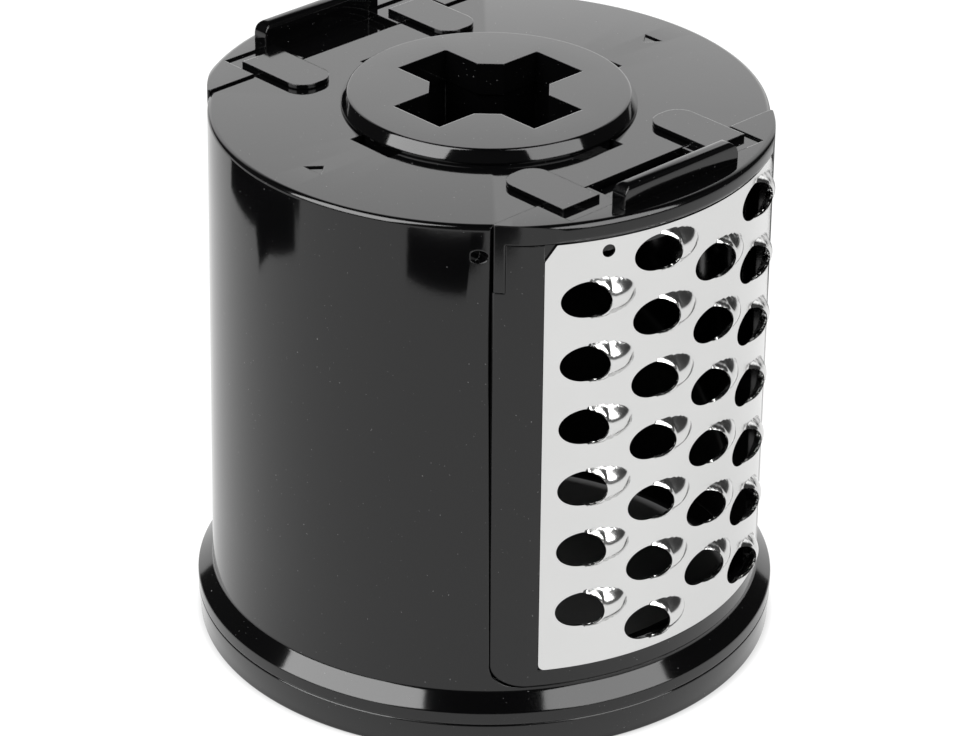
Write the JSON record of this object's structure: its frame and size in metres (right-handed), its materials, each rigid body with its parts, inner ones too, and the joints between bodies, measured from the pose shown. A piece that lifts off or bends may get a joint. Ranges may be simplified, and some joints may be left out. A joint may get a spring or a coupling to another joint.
{
  "type": "rotary grater drum",
  "caption": "Black grater drum on a flared foot, with a cross-shaped drive socket in its end plate and curved steel grating inserts that lift out by grip ribs.",
  "frame": {"origin": "centre of the foot's underside, on the drum's axis", "axes": "+Z along the drum's axis, from the open foot to the end plate with the drive socket; -Y faces out through the middle of the front insert"},
  "size_m": [0.1076, 0.1076, 0.1073],
  "materials": {
    "drum_plastic": "gloss black",
    "hub_plastic": "gloss black",
    "insert_plastic": "gloss black",
    "grater_steel": "satin"
  },
  "bodies": {
    "drum": {"drum_shell": "drum_plastic", "base_ring": "drum_plastic", "drive_hub": "hub_plastic"},
    "insert_front": {"insert_frame_front": "insert_plastic", "grater_plate_front": "grater_steel", "grip_cap_front": "insert_plastic"},
    "insert_rear": {"insert_frame_rear": "insert_plastic", "grater_plate_rear": "grater_steel", "grip_cap_rear": "insert_plastic"}
  },
  "joints": [
    {"name": "insert_front_lift", "type": "slide", "parent": "drum", "child": "insert_front", "axis": [0, 0, 1], "range_m": [0, 0.1]},
    {"name": "insert_rear_lift", "type": "slide", "parent": "drum", "child": "insert_rear", "axis": [0, 0, 1], "range_m": [0, 0.1]}
  ]
}
